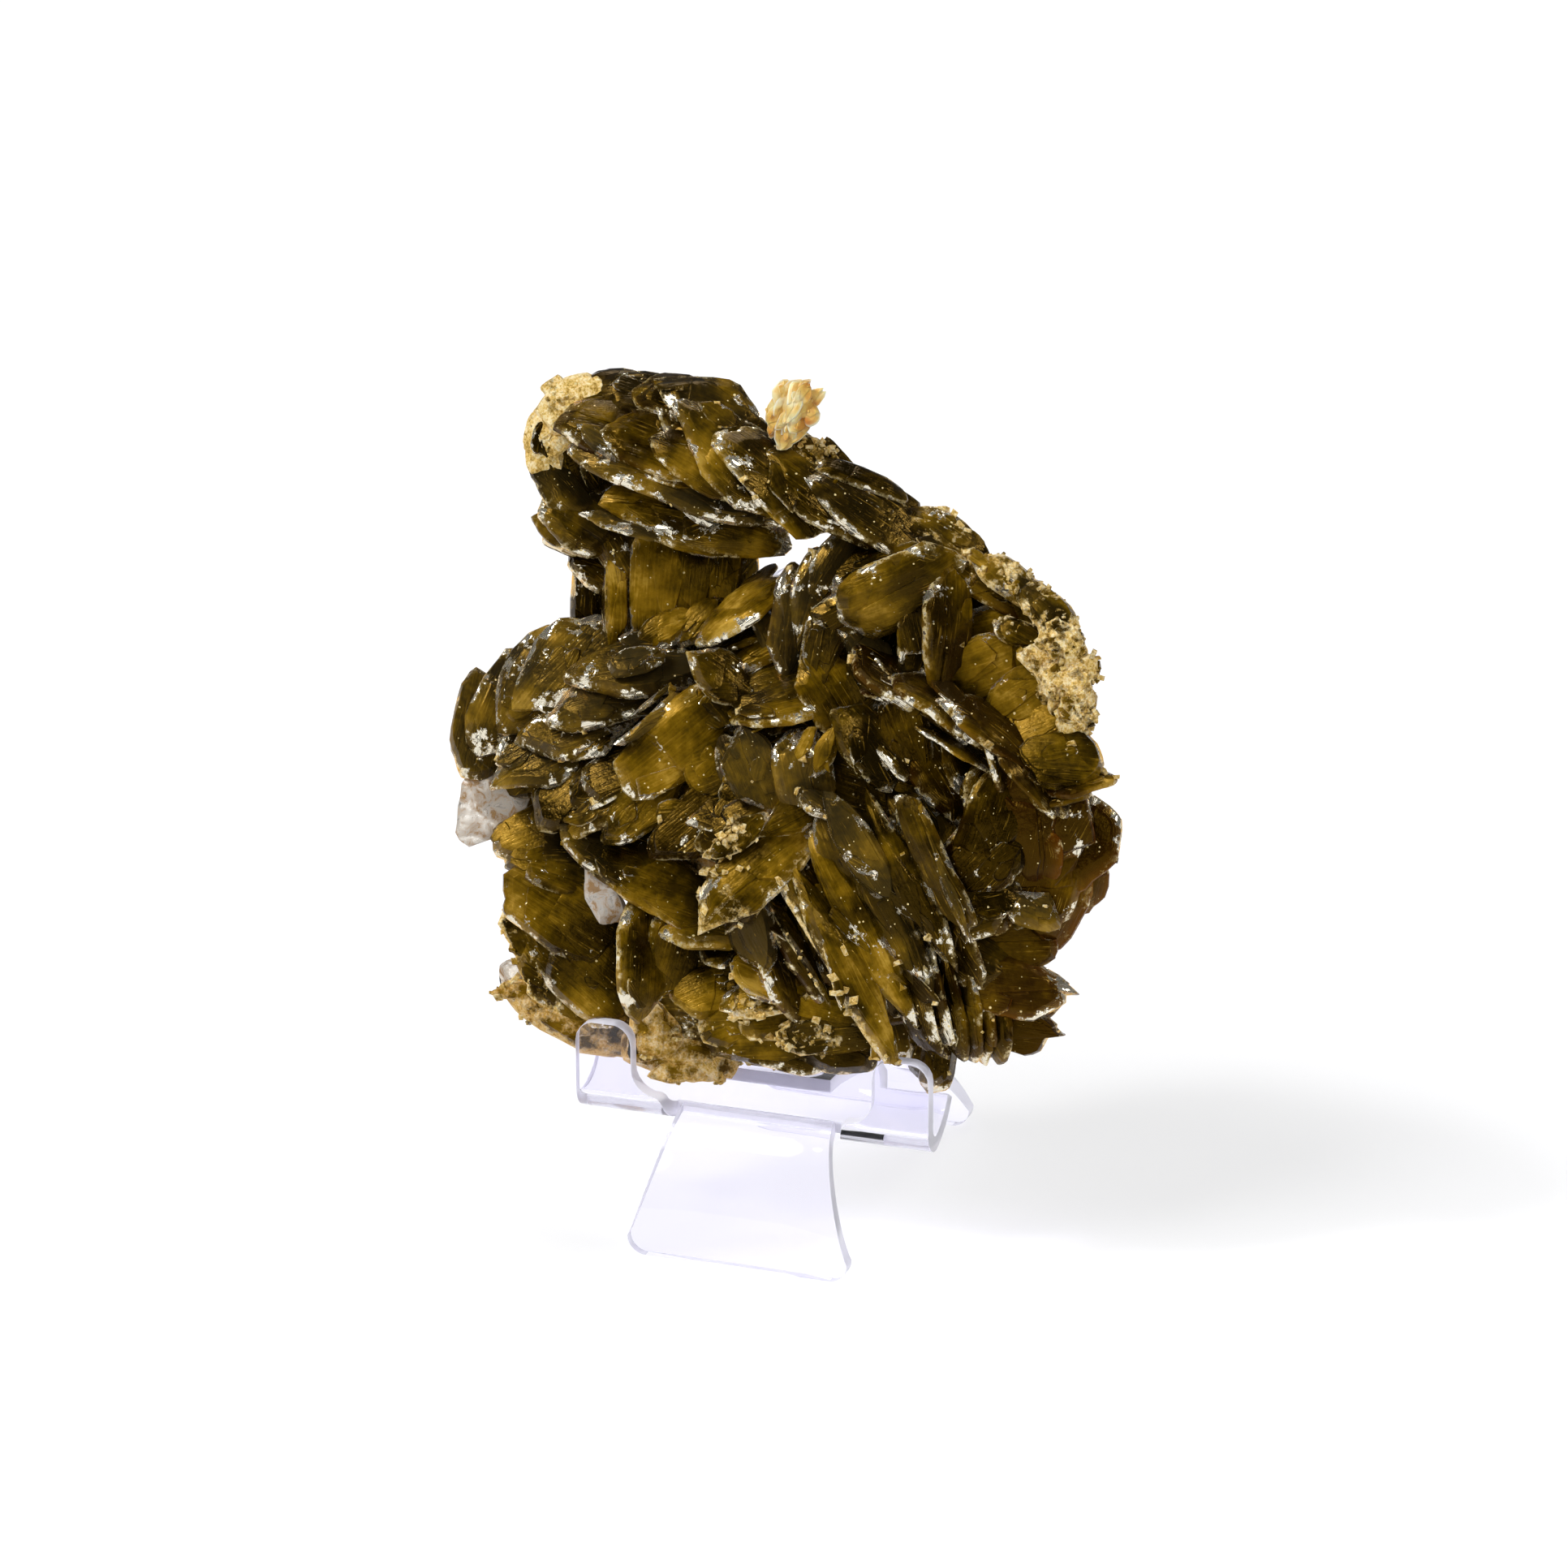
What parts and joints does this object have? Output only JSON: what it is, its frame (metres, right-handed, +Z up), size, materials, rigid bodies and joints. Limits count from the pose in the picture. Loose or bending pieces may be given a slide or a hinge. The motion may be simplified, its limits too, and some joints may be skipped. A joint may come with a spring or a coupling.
{
  "type": "siderite crystal specimen on display easel",
  "caption": "Cluster of bladed olive-brown siderite crystals with clear quartz, standing on a small clear plastic display easel.",
  "frame": {"origin": "on the table, under the middle of the whole object's box", "axes": "+Z up, +X to the right along the easel's trough, +Y to the back, so the easel's hooks face -Y"},
  "size_m": [0.0876, 0.0534, 0.107],
  "materials": {
    "siderite": "vitreous to silky olive-brown crystal faces, thin edges glowing golden",
    "quartz": "clear, faintly beige, cleaved and frosted inside",
    "dolomite": "matt cream with orange stains",
    "clear_polystyrene": "clear moulded, glossy, a faint lavender tint at the edges"
  },
  "bodies": {
    "root": {"siderite_cluster": "siderite", "quartz_plate": "quartz", "quartz_prism": "quartz", "quartz_chip": "quartz", "dolomite_knob": "dolomite", "easel_cradle": "clear_polystyrene", "easel_front_leg": "clear_polystyrene", "easel_rear_leg": "clear_polystyrene"}
  },
  "joints": []
}
